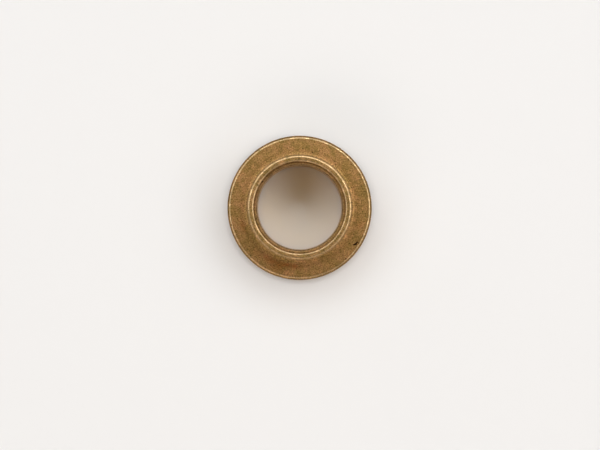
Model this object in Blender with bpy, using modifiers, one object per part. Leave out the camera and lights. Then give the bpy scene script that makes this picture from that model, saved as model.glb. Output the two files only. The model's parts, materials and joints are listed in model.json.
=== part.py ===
"""A flanged plain bearing bushing, pressed from sintered bronze in one piece.

Run with: blender --background --python part.py, or from Blender's text editor.
The bushing lies on its flange with the sleeve upright. Its axis is Z, and the
origin is the centre of the bore in the plane of the flange's back face.
One half section is swept a full turn about that axis.
"""

import math

import bpy
from mathutils import Matrix, Vector

MM = 0.001

# The sizes that name such a bushing: 1/2 x 5/8 x 3/8 inch, with a 7/8 x 1/16 inch flange
BORE_DIAMETER = 12.8 * MM
SLEEVE_WALL = 1.55 * MM
OVERALL_LENGTH = 9.525 * MM
FLANGE_REACH = 3.15 * MM
FLANGE_THICKNESS = 1.6 * MM

# A chamfered lead-in takes the shaft, and runs into the bore over a soft throat
LEAD_IN_WIDTH = 0.63 * MM
LEAD_IN_DEPTH = 0.66 * MM
THROAT_RADIUS = 0.4 * MM

# Chamfers from the press tools ease the other corners, a fillet joins sleeve and flange,
# and tumbling has rounded each remaining edge a little
BACK_CHAMFER = 0.4 * MM
SLEEVE_CHAMFER = 0.27 * MM
FLANGE_CHAMFER = 0.33 * MM
SHOULDER_RADIUS = 0.55 * MM
WORN_RADIUS = 0.1 * MM

# The most of a straight run that the rounding at one end of it may take
ROUNDING_SHARE = 0.45

TURN_STEPS = 96
WORN_STEPS = 2
BLEND_STEPS = 6
SEAM_MERGE = 0.001 * MM

BORE_RADIUS = BORE_DIAMETER / 2
SLEEVE_RADIUS = BORE_RADIUS + SLEEVE_WALL
FLANGE_RADIUS = SLEEVE_RADIUS + FLANGE_REACH

BRONZE_COLOUR = (0.34, 0.18, 0.08, 1.0)
BRONZE_ROUGHNESS = 0.45


def clear_scene():
    for obj in list(bpy.data.objects):
        bpy.data.objects.remove(obj)


def rounded_corner(before, corner, after, radius, steps):
    """The points of an arc that rounds one corner of an outline, in the outline's order."""
    to_before = before - corner
    to_after = after - corner
    half_angle = to_before.angle(to_after) / 2
    room = ROUNDING_SHARE * min(to_before.length, to_after.length)
    radius = min(radius, room * math.tan(half_angle))

    setback = radius / math.tan(half_angle)
    start = corner + setback * to_before.normalized()
    inward = (to_before.normalized() + to_after.normalized()).normalized()
    centre = corner + radius / math.sin(half_angle) * inward
    turning = math.copysign(math.pi - 2 * half_angle, to_after.cross(to_before))

    spoke = start - centre
    return [centre + Matrix.Rotation(turning * step / steps, 2) @ spoke for step in range(steps + 1)]


def rounded_outline(corners):
    """A closed outline from corners given as (r, z, radius, steps)."""
    places = [Vector((r, z)) for r, z, radius, steps in corners]
    points = []
    for index, (r, z, radius, steps) in enumerate(corners):
        before = places[index - 1]
        after = places[(index + 1) % len(places)]
        points += rounded_corner(before, places[index], after, radius, steps)
    return points


def bushing_section():
    """The half section: out over the sleeve's end, down the outside, and back up the bore."""
    end = OVERALL_LENGTH
    shoulder = FLANGE_THICKNESS
    worn = (WORN_RADIUS, WORN_STEPS)

    sleeve_end = [
        (BORE_RADIUS + LEAD_IN_WIDTH, end, *worn),
        (SLEEVE_RADIUS - SLEEVE_CHAMFER, end, *worn),
        (SLEEVE_RADIUS, end - SLEEVE_CHAMFER, *worn),
    ]
    flange = [
        (SLEEVE_RADIUS, shoulder, SHOULDER_RADIUS, BLEND_STEPS),
        (FLANGE_RADIUS - FLANGE_CHAMFER, shoulder, *worn),
        (FLANGE_RADIUS, shoulder - FLANGE_CHAMFER, *worn),
        (FLANGE_RADIUS, FLANGE_CHAMFER, *worn),
        (FLANGE_RADIUS - FLANGE_CHAMFER, 0.0, *worn),
    ]
    bore = [
        (BORE_RADIUS + BACK_CHAMFER, 0.0, *worn),
        (BORE_RADIUS, BACK_CHAMFER, *worn),
        (BORE_RADIUS, end - LEAD_IN_DEPTH, THROAT_RADIUS, BLEND_STEPS),
    ]
    return rounded_outline(sleeve_end + flange + bore)


def bronze_material():
    material = bpy.data.materials.new("sintered_bronze")
    material.use_nodes = True
    shader = material.node_tree.nodes["Principled BSDF"]
    shader.inputs["Base Color"].default_value = BRONZE_COLOUR
    shader.inputs["Metallic"].default_value = 1.0
    shader.inputs["Roughness"].default_value = BRONZE_ROUGHNESS
    return material


def turned_solid(name, section):
    """A closed half section, as (r, z) points, swept a full turn about Z."""
    mesh = bpy.data.meshes.new(name)
    vertices = [(r, 0.0, z) for r, z in section]
    edges = [(index, (index + 1) % len(section)) for index in range(len(section))]
    mesh.from_pydata(vertices, edges, [])
    solid = bpy.data.objects.new(name, mesh)

    turn = solid.modifiers.new("turn", "SCREW")
    turn.axis = "Z"
    turn.angle = math.tau
    turn.steps = TURN_STEPS
    turn.render_steps = TURN_STEPS
    turn.use_merge_vertices = True
    turn.merge_threshold = SEAM_MERGE
    turn.use_smooth_shade = True

    # Normals follow the large faces, so flats look flat between their rounded edges
    solid.modifiers.new("flat_faces", "WEIGHTED_NORMAL")
    return solid


def build():
    clear_scene()
    bushing = turned_solid("bushing", bushing_section())
    bushing.data.materials.append(bronze_material())
    collection = bpy.data.collections.new("flanged_bushing")
    bpy.context.scene.collection.children.link(collection)
    collection.objects.link(bushing)


build()
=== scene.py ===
"""The looks of a flanged bushing in sintered bronze, lying on its flange on a pale floor."""

import json
import math
import random

import bpy
import numpy as np
from mathutils import Matrix, Vector, noise


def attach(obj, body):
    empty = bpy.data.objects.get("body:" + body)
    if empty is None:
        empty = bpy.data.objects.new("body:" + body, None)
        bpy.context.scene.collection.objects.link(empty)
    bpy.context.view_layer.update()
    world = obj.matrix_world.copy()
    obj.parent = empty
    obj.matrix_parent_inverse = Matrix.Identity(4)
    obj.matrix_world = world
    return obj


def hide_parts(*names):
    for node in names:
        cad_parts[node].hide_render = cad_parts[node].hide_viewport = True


MM = 0.001

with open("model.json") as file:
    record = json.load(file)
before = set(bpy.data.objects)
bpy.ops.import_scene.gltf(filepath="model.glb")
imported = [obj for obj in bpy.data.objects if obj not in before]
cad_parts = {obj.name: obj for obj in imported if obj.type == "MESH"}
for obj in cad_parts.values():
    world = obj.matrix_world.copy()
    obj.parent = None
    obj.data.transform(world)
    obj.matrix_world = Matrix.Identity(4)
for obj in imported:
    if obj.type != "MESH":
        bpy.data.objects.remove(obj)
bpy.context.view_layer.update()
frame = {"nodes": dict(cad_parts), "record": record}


# Sizes that the frame gives

def mount_height(name):
    for mount in frame["record"]["mounts"]:
        if mount["name"] == name:
            return mount["pos_m"][2]
    raise ValueError(f"the record has no mount named {name}")


def radii_of_node(name, above):
    """The least radius of a turned node, and its greatest radius above a height."""
    points = [vertex.co for vertex in frame["nodes"][name].data.vertices]
    return min(p.xy.length for p in points), max(p.xy.length for p in points if p.z > above)


SHOULDER_HEIGHT = mount_height("flange_shoulder")
END_HEIGHT = mount_height("sleeve_end")
BORE_RADIUS, FLANGE_RADIUS = radii_of_node("bushing", 0.0)
SLEEVE_RADIUS = radii_of_node("bushing", END_HEIGHT / 2)[1]

# Edges, much as on the solid. The lead-in has a worn knee: it is steep under the crest, then
# shallow. Each crest is rounder than on the solid
LEAD_IN_WIDTH = 0.6 * MM
LEAD_IN_DEPTH = 0.66 * MM
KNEE_WIDTH = 0.34 * MM
KNEE_DEPTH = 0.41 * MM
KNEE_RADIUS = 0.2 * MM
THROAT_RADIUS = 0.4 * MM
BACK_CHAMFER = 0.4 * MM
SLEEVE_CHAMFER = 0.27 * MM
FLANGE_CHAMFER = 0.33 * MM
SHOULDER_RADIUS = 0.55 * MM
CREST_RADIUS = 0.16 * MM
MOUTH_CREST_RADIUS = 0.19 * MM
SLEEVE_CREST_RADIUS = 0.24 * MM

# The most of a straight run that the rounding at one end of it may take
ROUNDING_SHARE = 0.45

# How finely the surface is divided: steps round the axis and in each rounding, then the pitch of
# the points on straight runs
TURN_STEPS = 600
CREST_STEPS = 5
HIDDEN_STEPS = 3
BLEND_STEPS = 9
FINE_PITCH = 0.08 * MM
COARSE_PITCH = 0.7 * MM

# Each finish has its polish, how light its tone is, whether it is drawn along the axis, and how
# far its surface wanders. The tone is partly painted shade: the throat and the flange's rim are
# darkened for the dark surroundings they reflect. Two numbers more give the azimuth where the
# tone is lightest and how far it swings round the axis, which is painted light: an edge is
# lighter where it faces the strongest light
FINISHES = {
    "pressed": (0.0, 1.0, 0.0, 0.0025 * MM, 0, 0.0),
    "land": (0.0, 0.88, 0.0, 0.004 * MM, 0, 0.0),
    "flange_crest": (0.95, 1.0, 0.0, 0.012 * MM, 0, 0.0),
    "sleeve_crest": (0.8, 0.97, 0.0, 0.012 * MM, 78, 0.16),
    "mouth_crest": (0.8, 0.95, 0.0, 0.012 * MM, 0, 0.0),
    "lead_in": (0.1, 0.96, 0.0, 0.004 * MM, 300, 0.25),
    "throat": (0.6, 0.73, 0.0, 0.004 * MM, 0, 0.0),
    "chamfer": (0.1, 0.92, 0.0, 0.006 * MM, 0, 0.0),
    "rim": (0.1, 0.75, 0.0, 0.006 * MM, 0, 0.0),
    "sized": (0.6, 1.0, 1.0, 0.002 * MM, 0, 0.0),
    "hidden": (0.3, 1.0, 0.0, 0.0, 0, 0.0),
}

# The two wavelengths at which a surface wanders, and the strength of each
LONG_WANDER, LONG_STRENGTH = 1.1 * MM, 1.2
SHORT_WANDER, SHORT_STRENGTH = 0.28 * MM, 0.8

# Open pores and knocks that show from above: azimuth, radius and height of each, then half its
# length, half its width, its depth, and the direction of its long axis in plan
MARKS = [
    (-34.0, 10.13 * MM, SHOULDER_HEIGHT, 0.18 * MM, 0.15 * MM, 0.12 * MM, 20),
    (-32.7, 10.27 * MM, SHOULDER_HEIGHT, 0.24 * MM, 0.18 * MM, 0.20 * MM, 35),
    (-31.0, 10.31 * MM, SHOULDER_HEIGHT, 0.19 * MM, 0.12 * MM, 0.12 * MM, 60),
    (-30.8, 10.59 * MM, SHOULDER_HEIGHT, 0.13 * MM, 0.09 * MM, 0.06 * MM, 60),
    (77.0, 8.75 * MM, SHOULDER_HEIGHT, 0.16 * MM, 0.10 * MM, 0.08 * MM, 20),
    (-48.0, 10.55 * MM, SHOULDER_HEIGHT, 0.16 * MM, 0.09 * MM, 0.06 * MM, 30),
    (194.0, 10.82 * MM, SHOULDER_HEIGHT, 0.17 * MM, 0.09 * MM, 0.06 * MM, 104),
    (145.5, 6.78 * MM, END_HEIGHT - 0.35 * MM, 0.20 * MM, 0.14 * MM, 0.09 * MM, 55),
    (152.0, 7.05 * MM, END_HEIGHT, 0.16 * MM, 0.10 * MM, 0.06 * MM, 62),
]

# How ragged a mark's outline is, and the size of its raggedness. Then, as shares of the mark's
# size: how wide its wall is, how far the darkening spreads from its middle, and how far raggedness
# reaches
MARK_RAGGEDNESS = 0.35
RAGGED_SIZE = 0.12 * MM
MARK_WALL = 0.5
DARKENING_SPREAD = 1.15
RAGGED_REACH = 2.0

# Angles crowd together at each mark: how many even ones they are picked from, how much closer
# they come, and over how many degrees
EVEN_ANGLES = 7200
CROWDING = 1.6
CROWDED_ANGLE = 1.4

# Small knocks along each crest: radius, height and count. Then the limits of their half lengths,
# half widths and depths, and how many degrees one may lie askew to its crest
KNOCKED_CRESTS = [
    (BORE_RADIUS + LEAD_IN_WIDTH, END_HEIGHT, 26),
    (SLEEVE_RADIUS - SLEEVE_CHAMFER, END_HEIGHT, 30),
    (FLANGE_RADIUS - FLANGE_CHAMFER, SHOULDER_HEIGHT, 46),
]
KNOCK_LENGTHS = (0.08 * MM, 0.32 * MM)
KNOCK_WIDTHS = (0.07 * MM, 0.13 * MM)
KNOCK_DEPTHS = (0.01 * MM, 0.045 * MM)
KNOCK_SKEW = 25
KNOCK_SEED = 7

# Thin dark rings are painted on the flange's face: radius, reach and strength. A point is on the
# face when its height is within the tolerance
DARK_RINGS = [(8.97 * MM, 0.22 * MM, 0.13), (10.48 * MM, 0.08 * MM, 0.14)]
FACE_TOLERANCE = 0.1 * MM

# Dull patches on the flange: azimuth, radius, reach along and across, strength
DULL_PATCHES = [
    (105, 9.6 * MM, 1.3 * MM, 1.0 * MM, 0.16),
    (160, 9.0 * MM, 1.0 * MM, 0.8 * MM, 0.08),
]

# Brown stains on the flange, given like the patches
STAINS = [
    (243, 9.2 * MM, 1.9 * MM, 0.5 * MM, 0.9),
    (262, 9.0 * MM, 1.5 * MM, 0.4 * MM, 0.9),
    (250, 9.9 * MM, 1.6 * MM, 0.5 * MM, 0.5),
    (226, 9.7 * MM, 0.9 * MM, 0.5 * MM, 0.25),
    (198, 9.2 * MM, 0.9 * MM, 0.4 * MM, 0.5),
    (345, 9.6 * MM, 0.8 * MM, 0.6 * MM, 0.3),
]

# Colours of the bronze as metal: two tones of the pressed faces, then where it is burnished, and
# the bore and sleeve, which a sizing tool has smoothed. Stains tint it, and the darkening covers it
OLIVE = (0.342, 0.211, 0.063, 1.0)
COPPER = (0.387, 0.208, 0.083, 1.0)
BURNISHED = (0.69, 0.463, 0.235, 1.0)
SIZED = (0.655, 0.42, 0.14, 1.0)
STAIN_TINT = (0.80, 0.52, 0.38, 1.0)
DARKENING_COLOUR = (0.055, 0.028, 0.010, 1.0)

# Size and detail of the grain, the tone patches and the clouds in the pressed metal, and of the
# streaks, which are stretched along the axis
GRAIN = (0.2 * MM, 2.0)
PATCHES = (0.7 * MM, 3.0)
CLOUDS = (2.4 * MM, 3.0)
STREAKS = (0.12 * MM, 3.0)
STREAK_STRETCH = 0.03
NOISE_ROUGHNESS = 0.6

# Small pores: their spacing, where the edge of one lies as a share of that, and which cells of a
# random value have one
PORE_SPACING = 0.42 * MM
PORE_EDGE = (0.12, 0.24)
PORE_CHOICE = (0.55, 0.6)

# Tones mix the patches and the clouds. Ranges of them run from olive to copper and from lightly
# to fully burnished, and one of the patches runs from a weak stain to a full one
FULL_RANGE = (0.0, 1.0)
NOISE_RANGE = (0.3, 0.7)
PATCH_SHARE, CLOUD_SHARE = 0.4, 0.6
COPPER_TONES = (0.38, 0.62)
BURNISH_TONES, BURNISH_SHARES = (0.4, 0.55), (0.7, 1.0)
STAIN_PATCHES, STAIN_SHARES = (0.3, 0.6), (0.4, 1.0)

# How far each noise shades the metal, what polish leaves of that, and how dark a pore is
GRAIN_SHADES = (0.5, 1.5)
PATCH_SHADES = (0.8, 1.2)
CLOUD_SHADES = (0.86, 1.14)
POLISHED_SHADING = 0.5
PORE_SHADE = 0.35

# Roughness of pressed and polished metal, what drawing takes off, and what the rest adds
PRESSED_ROUGHNESS, POLISHED_ROUGHNESS = 0.56, 0.28
DRAWN_SMOOTHNESS = 0.16
PATCH_ROUGHNESS = (-0.05, 0.05)
DARKENING_ROUGHNESS = 0.3

# Relief in millimetres, and what polish leaves of it
GRAIN_RELIEF = 0.016
PATCH_RELIEF = 0.012
PORE_RELIEF = 0.03
STREAK_RELIEF = 0.008
POLISHED_RELIEF = 0.35

# Sockets of a Mix node for colours, which share their names with those for other types
MIX_FIRST, MIX_SECOND, MIX_RESULT = 6, 7, 2

FLOOR_SIZE = 4.0
FLOOR_COLOUR = (0.775, 0.749, 0.725, 1.0)
FLOOR_ROUGHNESS = 0.6

# The camera looks straight down. Its frame is 600 x 450 pixels, at a scale that holds on the
# floor, and the bushing's axis stands on the axis pixel
FRAME_WIDTH = 600
FRAME_HEIGHT = 450
PIXELS_PER_METRE = 164.5 / 0.0254
AXIS_PIXEL = (299.6, 207.9)
CAMERA_HEIGHT = 0.35
SENSOR_WIDTH = 36.0
NEAR_CLIP, FAR_CLIP = 0.01, 20.0

# Softboxes stand well away in four rows: cool ones in a high arc from the right round the back to
# the left, lower and warmer ones on the right and in front, faint ones that graze from the back,
# and one overhead. A row has a zenith angle, a size and a colour, then each azimuth and radiance
LIGHT_DISTANCE = 1.5
SOFTBOX_ROWS = [
    (42, (0.45, 0.62), (0.905, 0.957, 1.0), [
        (-15, 3.2), (10, 3.3), (35, 3.7), (60, 4.0), (85, 3.9),
        (110, 3.4), (135, 3.7), (160, 3.3), (185, 2.6),
    ]),
    (57, (0.6, 0.5), (1.0, 0.88, 0.785), [
        (5, 1.4), (35, 1.5), (215, 2.1), (245, 3.5), (275, 2.2), (305, 1.5), (335, 1.15),
    ]),
    (72, (0.6, 0.5), (1.0, 0.94, 0.88), [(65, 0.2), (95, 0.2), (125, 0.6), (155, 0.5)]),
    (0, (0.8, 0.8), (1.0, 1.0, 1.0), [(0, 0.4)]),
]

# A tent stands behind them: grey at the horizon, faint above it, and dark overhead. Its two
# ranges are heights on a unit sphere, where it fades from one to the next
TENT_COLOUR = (1.0, 0.965, 0.93, 1.0)
HORIZON_RADIANCE = 0.6
TENT_RADIANCE = 0.1
TENT_LOW = (0.02, 0.3)
TENT_HIGH = (0.3, 0.7)


# The section and its turn about the axis

def rounded_corner(before, corner, after, radius, steps):
    """The points of an arc that rounds one corner of an outline, in the outline's order."""
    to_before = before - corner
    to_after = after - corner
    half_angle = to_before.angle(to_after) / 2
    room = ROUNDING_SHARE * min(to_before.length, to_after.length)
    radius = min(radius, room * math.tan(half_angle))

    setback = radius / math.tan(half_angle)
    start = corner + setback * to_before.normalized()
    inward = (to_before.normalized() + to_after.normalized()).normalized()
    centre = corner + radius / math.sin(half_angle) * inward
    turning = math.copysign(math.pi - 2 * half_angle, to_after.cross(to_before))

    spoke = start - centre
    return [centre + Matrix.Rotation(turning * step / steps, 2) @ spoke for step in range(steps + 1)]


def section_corners():
    """Corners as r, z, radius, steps and finish, then the pitch and finish of the run after each."""
    end, shoulder = END_HEIGHT, SHOULDER_HEIGHT
    bore, sleeve, flange = BORE_RADIUS, SLEEVE_RADIUS, FLANGE_RADIUS

    mouth_crest = (MOUTH_CREST_RADIUS, CREST_STEPS, "mouth_crest")
    sleeve_crest = (SLEEVE_CREST_RADIUS, CREST_STEPS, "sleeve_crest")
    sleeve_corner = (CREST_RADIUS, CREST_STEPS, "chamfer")
    fillet = (SHOULDER_RADIUS, BLEND_STEPS, "pressed")
    flange_crest = (CREST_RADIUS, CREST_STEPS, "flange_crest")
    flange_corner = (CREST_RADIUS, CREST_STEPS, "rim")
    hidden = (CREST_RADIUS, HIDDEN_STEPS, "hidden")
    throat = (THROAT_RADIUS, BLEND_STEPS, "throat")
    knee = (KNEE_RADIUS, CREST_STEPS, "lead_in")

    return [
        (bore + LEAD_IN_WIDTH, end, *mouth_crest, FINE_PITCH, "land"),
        (sleeve - SLEEVE_CHAMFER, end, *sleeve_crest, FINE_PITCH, "chamfer"),
        (sleeve, end - SLEEVE_CHAMFER, *sleeve_corner, COARSE_PITCH, "sized"),
        (sleeve, shoulder, *fillet, FINE_PITCH, "pressed"),
        (flange - FLANGE_CHAMFER, shoulder, *flange_crest, FINE_PITCH, "rim"),
        (flange, shoulder - FLANGE_CHAMFER, *flange_corner, FINE_PITCH, "rim"),
        (flange, FLANGE_CHAMFER, *hidden, FINE_PITCH, "hidden"),
        (flange - FLANGE_CHAMFER, 0.0, *hidden, COARSE_PITCH, "hidden"),
        (bore + BACK_CHAMFER, 0.0, *hidden, FINE_PITCH, "hidden"),
        (bore, BACK_CHAMFER, *hidden, COARSE_PITCH, "sized"),
        (bore, end - LEAD_IN_DEPTH, *throat, FINE_PITCH, "lead_in"),
        (bore + KNEE_WIDTH, end - KNEE_DEPTH, *knee, FINE_PITCH, "lead_in"),
    ]


def section():
    """The half section as places (r, z) and finishes, with straight runs divided by their pitch."""
    corners = section_corners()
    arcs = []
    for index, (r, z, radius, steps, *_) in enumerate(corners):
        before = Vector(corners[index - 1][:2])
        after = Vector(corners[(index + 1) % len(corners)][:2])
        arcs.append(rounded_corner(before, Vector((r, z)), after, radius, steps))

    rows = []
    for index, corner in enumerate(corners):
        arc_finish, pitch, run_finish = corner[4:]
        arc = arcs[index]
        rows += [(point, arc_finish) for point in arc]
        run = arcs[(index + 1) % len(arcs)][0] - arc[-1]
        cells = max(1, round(run.length / pitch))
        rows += [(arc[-1] + run * cell / cells, run_finish) for cell in range(1, cells)]
    places = np.array([point for point, finish in rows])
    finishes = np.array([FINISHES[finish] for point, finish in rows])
    return places, finishes


def section_normals(places):
    along = np.roll(places, -1, axis=0) - np.roll(places, 1, axis=0)
    along /= np.linalg.norm(along, axis=1)[:, None]
    return np.stack([-along[:, 1], along[:, 0]], axis=-1)


def angle_apart(angles, azimuth):
    """The signed angle from an azimuth in degrees, within half a turn."""
    return (angles - math.radians(azimuth) + math.pi) % math.tau - math.pi


def turn_angles():
    """Angles of one full turn, closer together where a mark lies."""
    even = np.linspace(0.0, math.tau, EVEN_ANGLES, endpoint=False)
    density = np.ones_like(even)
    for azimuth, *_ in MARKS:
        apart = angle_apart(even, azimuth)
        density += CROWDING * np.exp(-((apart / math.radians(CROWDED_ANGLE)) ** 2))
    share = np.cumsum(density) / density.sum()
    return np.interp(np.arange(TURN_STEPS) / TURN_STEPS, share, even)


def turned(pairs, angles):
    """Vectors (r, z) of the section, swept to x, y, z at each angle."""
    x = np.cos(angles)[:, None] * pairs[:, 0]
    y = np.sin(angles)[:, None] * pairs[:, 0]
    return np.stack([x, y, np.broadcast_to(pairs[:, 1], x.shape)], axis=-1)


# Wear, as depths and strengths at each point of the surface

def noise_at(points, size):
    """Smooth noise, about -0.7 to 0.7, at each of a row of points."""
    return np.array([noise.noise(Vector(point)) for point in points / size])


def wander(points):
    """Gentle unevenness, about -1 to 1, at a long and a short wavelength."""
    flat = points.reshape(-1, 3)
    waves = LONG_STRENGTH * noise_at(flat, LONG_WANDER)
    waves += SHORT_STRENGTH * noise_at(flat, SHORT_WANDER)
    return waves.reshape(points.shape[:2])


def crest_knocks():
    """Small knocks at seeded places along the crests, in the form of MARKS."""
    rng = random.Random(KNOCK_SEED)
    knocks = []
    for radius, height, count in KNOCKED_CRESTS:
        for _ in range(count):
            azimuth = rng.uniform(0, 360)
            sizes = [rng.uniform(*limits) for limits in (KNOCK_LENGTHS, KNOCK_WIDTHS, KNOCK_DEPTHS)]
            direction = azimuth + 90 + rng.uniform(-KNOCK_SKEW, KNOCK_SKEW)
            knocks.append((azimuth, radius, height, *sizes, direction))
    return knocks


def mark_distance(points, mark):
    """How far each point is from a mark, where 1 is the mark's own outline."""
    azimuth, radius, height, half_length, half_width, _, direction = mark
    turn, heading = math.radians(azimuth), math.radians(direction)
    centre = np.array([radius * math.cos(turn), radius * math.sin(turn), height])
    away = points - centre
    lengthwise = away @ np.array([math.cos(heading), math.sin(heading), 0.0])
    crosswise = np.sqrt(np.maximum((away ** 2).sum(axis=-1) - lengthwise ** 2, 0.0))
    distance = np.hypot(lengthwise / half_length, crosswise / half_width)

    near = distance < RAGGED_REACH
    distance[near] *= 1.0 + MARK_RAGGEDNESS * noise_at(points[near], RAGGED_SIZE)
    return distance


def smooth_step(values):
    values = np.clip(values, 0.0, 1.0)
    return values * values * (3.0 - 2.0 * values)


def dents_and_darkening(points):
    """The depth of the marks and knocks at each point, and how dark the marks and rings are painted.
    """
    depth = np.zeros(points.shape[:2])
    darkening = np.zeros(points.shape[:2])
    for mark in MARKS:
        distance = mark_distance(points, mark)
        depth = np.maximum(depth, mark[5] * smooth_step((1.0 - distance) / MARK_WALL))
        darkening = np.maximum(darkening, smooth_step((DARKENING_SPREAD - distance) / MARK_WALL))
    for knock in crest_knocks():
        distance = mark_distance(points, knock)
        depth = np.maximum(depth, knock[5] * smooth_step(1.0 - distance))

    radius = np.hypot(points[..., 0], points[..., 1])
    on_face = np.abs(points[..., 2] - SHOULDER_HEIGHT) < FACE_TOLERANCE
    for ring_radius, reach, strength in DARK_RINGS:
        ring = np.exp(-(((radius - ring_radius) / reach) ** 2))
        darkening = np.maximum(darkening, strength * on_face * ring)
    return depth, darkening


def patches_on_flange(points, patches):
    """The strength of soft-edged patches at each point, where they lie on the flange's face."""
    radius = np.hypot(points[..., 0], points[..., 1])
    turn = np.arctan2(points[..., 1], points[..., 0])
    total = np.zeros(radius.shape)
    for azimuth, patch_radius, along, across, strength in patches:
        arc = angle_apart(turn, azimuth) * patch_radius
        spread = (arc / along) ** 2 + ((radius - patch_radius) / across) ** 2
        total += strength * np.exp(-spread)
    return np.clip(total, 0.0, 1.0) * (points[..., 2] < SHOULDER_HEIGHT + SHOULDER_RADIUS)


# The pieces

def turned_faces(count):
    """Quads that join rings of points, where each angle has its own copy of the section."""
    faces = []
    for turn in range(TURN_STEPS):
        here, there = turn * count, (turn + 1) % TURN_STEPS * count
        for index in range(count):
            after = (index + 1) % count
            faces.append((here + index, here + after, there + after, there + index))
    return faces


def bushing_piece():
    places, finishes = section()
    polish, tone_and_painted_light, drawn, wandering, painted_light_azimuth, swing = finishes.T
    angles = turn_angles()
    normals = turned(section_normals(places), angles)
    points = turned(places, angles)
    points += normals * (wander(points) * wandering)[..., None]
    depth, darkening = dents_and_darkening(points)
    darkening = np.maximum(darkening, patches_on_flange(points, DULL_PATCHES))
    stains = patches_on_flange(points, STAINS)
    points -= normals * depth[..., None]

    mesh = bpy.data.meshes.new("bronze_bushing")
    mesh.from_pydata(points.reshape(-1, 3).tolist(), [], turned_faces(len(places)))
    mesh.shade_smooth()

    # Painted light: the tone swings round the axis, lightest where an edge faces the strongest light
    painted_light_swing = 1.0 + swing * np.cos(angles[:, None] - np.radians(painted_light_azimuth))
    values = {
        "darkening": darkening.ravel(),
        "stain": stains.ravel(),
        "tone_and_painted_light": (tone_and_painted_light * painted_light_swing).ravel(),
        "polish": np.tile(polish, TURN_STEPS),
        "drawn": np.tile(drawn, TURN_STEPS),
    }
    for name, per_point in values.items():
        mesh.attributes.new(name, "FLOAT", "POINT").data.foreach_set("value", per_point)

    piece = bpy.data.objects.new("bronze_bushing", mesh)
    bpy.context.scene.collection.objects.link(piece)
    piece.data.materials.append(bronze_material())
    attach(piece, "root")
    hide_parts("bushing")


def floor_piece():
    bpy.ops.mesh.primitive_plane_add(size=FLOOR_SIZE)
    floor = bpy.context.object
    floor.name = "floor"
    material = bpy.data.materials.new("floor")
    material.use_nodes = True
    shader = material.node_tree.nodes["Principled BSDF"]
    shader.inputs["Base Color"].default_value = FLOOR_COLOUR
    shader.inputs["Roughness"].default_value = FLOOR_ROUGHNESS
    shader.inputs["Specular IOR Level"].default_value = 0.0
    floor.data.materials.append(material)


# Short ways to add shader nodes. A value that is a socket is linked, and any other is set

def node(tree, kind, inputs=None, **settings):
    item = tree.nodes.new("ShaderNode" + kind)
    for name, value in settings.items():
        setattr(item, name, value)
    for name, value in (inputs or {}).items():
        if isinstance(value, bpy.types.NodeSocket):
            tree.links.new(value, item.inputs[name])
        else:
            item.inputs[name].default_value = value
    return item


def attribute(tree, name):
    return node(tree, "Attribute", attribute_name=name).outputs["Fac"]


def maths(tree, operation, first, second):
    return node(tree, "Math", {0: first, 1: second}, operation=operation).outputs["Value"]


def add(tree, first, second):
    return maths(tree, "ADD", first, second)


def subtract(tree, first, second):
    return maths(tree, "SUBTRACT", first, second)


def multiply(tree, first, second):
    return maths(tree, "MULTIPLY", first, second)


def rescaled(tree, value, limits, new_limits):
    """A value moved from one range to another, and held within it."""
    inputs = {
        "Value": value,
        "From Min": limits[0],
        "From Max": limits[1],
        "To Min": new_limits[0],
        "To Max": new_limits[1],
    }
    return node(tree, "MapRange", inputs).outputs["Result"]


def faded(tree, strength, least):
    """1 where a strength is 0, down to the least where it is 1."""
    return rescaled(tree, strength, FULL_RANGE, (1.0, least))


def blend(tree, factor, first, second, blend_type="MIX"):
    """The first colour where the factor is 0, and the second blended in fully where it is 1."""
    inputs = {"Factor": factor, MIX_FIRST: first, MIX_SECOND: second}
    mix = node(tree, "Mix", inputs, data_type="RGBA", blend_type=blend_type)
    return mix.outputs[MIX_RESULT]


def noise_texture(tree, place, size, detail):
    inputs = {"Vector": place, "Scale": 1.0 / size, "Detail": detail, "Roughness": NOISE_ROUGHNESS}
    return node(tree, "TexNoise", inputs).outputs["Fac"]


def open_pores(tree, place):
    """1 in the middle of a small open pore, and 0 between pores. Only some cells have one."""
    cells = node(tree, "TexVoronoi", {"Vector": place, "Scale": 1.0 / PORE_SPACING})
    dot = rescaled(tree, cells.outputs["Distance"], PORE_EDGE, (1.0, 0.0))
    chosen = rescaled(tree, cells.outputs["Color"], PORE_CHOICE, FULL_RANGE)
    return multiply(tree, dot, chosen)


# The bronze

def metal_colour(tree, tones, patches, polish, drawn):
    """The colour of the metal with its stains, before it is shaded."""
    pressed = blend(tree, rescaled(tree, tones, COPPER_TONES, FULL_RANGE), OLIVE, COPPER)
    colour = blend(tree, drawn, blend(tree, polish, pressed, BURNISHED), SIZED)
    stained = blend(tree, 1.0, colour, STAIN_TINT, "MULTIPLY")
    share = rescaled(tree, patches, STAIN_PATCHES, STAIN_SHARES)
    return blend(tree, multiply(tree, attribute(tree, "stain"), share), colour, stained)


def metal_shade(tree, grain, patches, clouds, pores, polish):
    """How light the metal is, as a factor on its colour."""
    shade = rescaled(tree, grain, NOISE_RANGE, GRAIN_SHADES)
    shade = multiply(tree, shade, rescaled(tree, patches, NOISE_RANGE, PATCH_SHADES))
    shade = multiply(tree, shade, rescaled(tree, clouds, NOISE_RANGE, CLOUD_SHADES))
    swing = multiply(tree, subtract(tree, shade, 1.0), faded(tree, polish, POLISHED_SHADING))
    # The tone holds painted shade on the throat and the flange's rim, and painted light that swings
    # round the axis
    shade = multiply(tree, add(tree, 1.0, swing), attribute(tree, "tone_and_painted_light"))
    return multiply(tree, shade, faded(tree, pores, PORE_SHADE))


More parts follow.
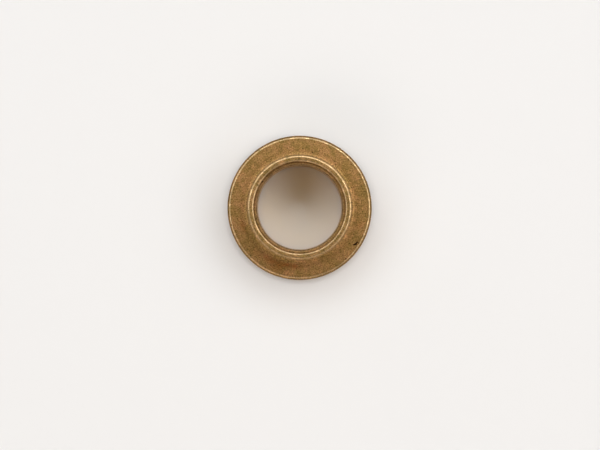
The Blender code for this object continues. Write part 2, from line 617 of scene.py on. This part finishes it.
def metal_roughness(tree, patches, polish, drawn, darkening):
    """How rough the metal is. Polish and drawing smooth it, and the darkening roughens it."""
    roughness = rescaled(tree, polish, FULL_RANGE, (PRESSED_ROUGHNESS, POLISHED_ROUGHNESS))
    roughness = subtract(tree, roughness, multiply(tree, drawn, DRAWN_SMOOTHNESS))
    roughness = add(tree, roughness, rescaled(tree, patches, NOISE_RANGE, PATCH_ROUGHNESS))
    return add(tree, roughness, rescaled(tree, darkening, FULL_RANGE, (0.0, DARKENING_ROUGHNESS)))


def metal_relief(tree, grain, patches, pores, streaks, polish, drawn):
    """The fine relief of the surface, as a normal."""
    height = add(tree, multiply(tree, grain, GRAIN_RELIEF), multiply(tree, patches, PATCH_RELIEF))
    height = subtract(tree, height, multiply(tree, pores, PORE_RELIEF))
    height = multiply(tree, height, faded(tree, polish, POLISHED_RELIEF))
    drawn_height = multiply(tree, multiply(tree, streaks, drawn), STREAK_RELIEF)
    height = add(tree, height, drawn_height)
    return node(tree, "Bump", {"Height": height, "Distance": MM}).outputs["Normal"]


def bronze_material():
    material = bpy.data.materials.new("sintered_bronze")
    material.use_nodes = True
    tree = material.node_tree

    place = node(tree, "TexCoord").outputs["Object"]
    stretch = node(tree, "Mapping", {"Vector": place, "Scale": (1.0, 1.0, STREAK_STRETCH)})
    grain = noise_texture(tree, place, *GRAIN)
    patches = noise_texture(tree, place, *PATCHES)
    clouds = noise_texture(tree, place, *CLOUDS)
    streaks = noise_texture(tree, stretch.outputs["Vector"], *STREAKS)
    pores = open_pores(tree, place)
    drawn = attribute(tree, "drawn")
    darkening = attribute(tree, "darkening")

    # Tones drift over the faces, and burnishing comes and goes along an edge
    tones = add(tree, multiply(tree, patches, PATCH_SHARE), multiply(tree, clouds, CLOUD_SHARE))
    share = rescaled(tree, tones, BURNISH_TONES, BURNISH_SHARES)
    polish = multiply(tree, attribute(tree, "polish"), share)

    colour = metal_colour(tree, tones, patches, polish, drawn)
    shade = metal_shade(tree, grain, patches, clouds, pores, polish)
    shaded = node(tree, "VectorMath", {"Vector": colour, "Scale": shade}, operation="SCALE")
    # Darker where the marks, the rings on the face and the dull patches are painted
    colour = blend(tree, darkening, shaded.outputs["Vector"], DARKENING_COLOUR)
    roughness = metal_roughness(tree, patches, polish, drawn, darkening)
    normal = metal_relief(tree, grain, patches, pores, streaks, polish, drawn)

    shader = tree.nodes["Principled BSDF"]
    shader.inputs["Metallic"].default_value = 1.0
    tree.links.new(colour, shader.inputs["Base Color"])
    tree.links.new(roughness, shader.inputs["Roughness"])
    tree.links.new(normal, shader.inputs["Normal"])
    return material


# The camera and the light

def camera():
    data = bpy.data.cameras.new("camera")
    data.sensor_width = SENSOR_WIDTH
    data.lens = SENSOR_WIDTH * CAMERA_HEIGHT / (FRAME_WIDTH / PIXELS_PER_METRE)
    data.clip_start = NEAR_CLIP
    data.clip_end = FAR_CLIP
    item = bpy.data.objects.new("camera", data)
    item.location = (
        (FRAME_WIDTH / 2 - AXIS_PIXEL[0]) / PIXELS_PER_METRE,
        (AXIS_PIXEL[1] - FRAME_HEIGHT / 2) / PIXELS_PER_METRE,
        CAMERA_HEIGHT,
    )
    bpy.context.scene.collection.objects.link(item)
    bpy.context.scene.camera = item


def softbox(azimuth, zenith, size, colour, radiance):
    """A rectangular light that faces the bushing. An azimuth of 0 is towards +X."""
    width, height = size
    data = bpy.data.lights.new("softbox", "AREA")
    data.shape = "RECTANGLE"
    data.size = width
    data.size_y = height
    data.color = colour
    data.energy = math.pi * width * height * radiance
    tilt, turn = math.radians(zenith), math.radians(azimuth)
    across = math.sin(tilt)
    away = Vector((across * math.cos(turn), across * math.sin(turn), math.cos(tilt)))
    item = bpy.data.objects.new("softbox", data)
    item.location = away * LIGHT_DISTANCE
    item.rotation_mode = "QUATERNION"
    item.rotation_quaternion = away.to_track_quat("Z", "Y")
    bpy.context.scene.collection.objects.link(item)


def lights():
    for zenith, size, colour, boxes in SOFTBOX_ROWS:
        for azimuth, radiance in boxes:
            softbox(azimuth, zenith, size, colour, radiance)


def tent():
    """A surround that is pale at the horizon and dark overhead, where the camera looks in."""
    item = bpy.data.worlds.new("tent")
    item.use_nodes = True
    tree = item.node_tree
    place = node(tree, "TexCoord").outputs["Generated"]
    up = node(tree, "SeparateXYZ", {"Vector": place}).outputs["Z"]
    low = rescaled(tree, up, TENT_LOW, (HORIZON_RADIANCE, TENT_RADIANCE))
    high = rescaled(tree, up, TENT_HIGH, (1.0, 0.0))
    background = tree.nodes["Background"]
    background.inputs["Color"].default_value = TENT_COLOUR
    tree.links.new(multiply(tree, low, high), background.inputs["Strength"])
    bpy.context.scene.world = item


bushing_piece()
floor_piece()
camera()
lights()
tent()
bpy.context.scene.view_settings.view_transform = "Standard"
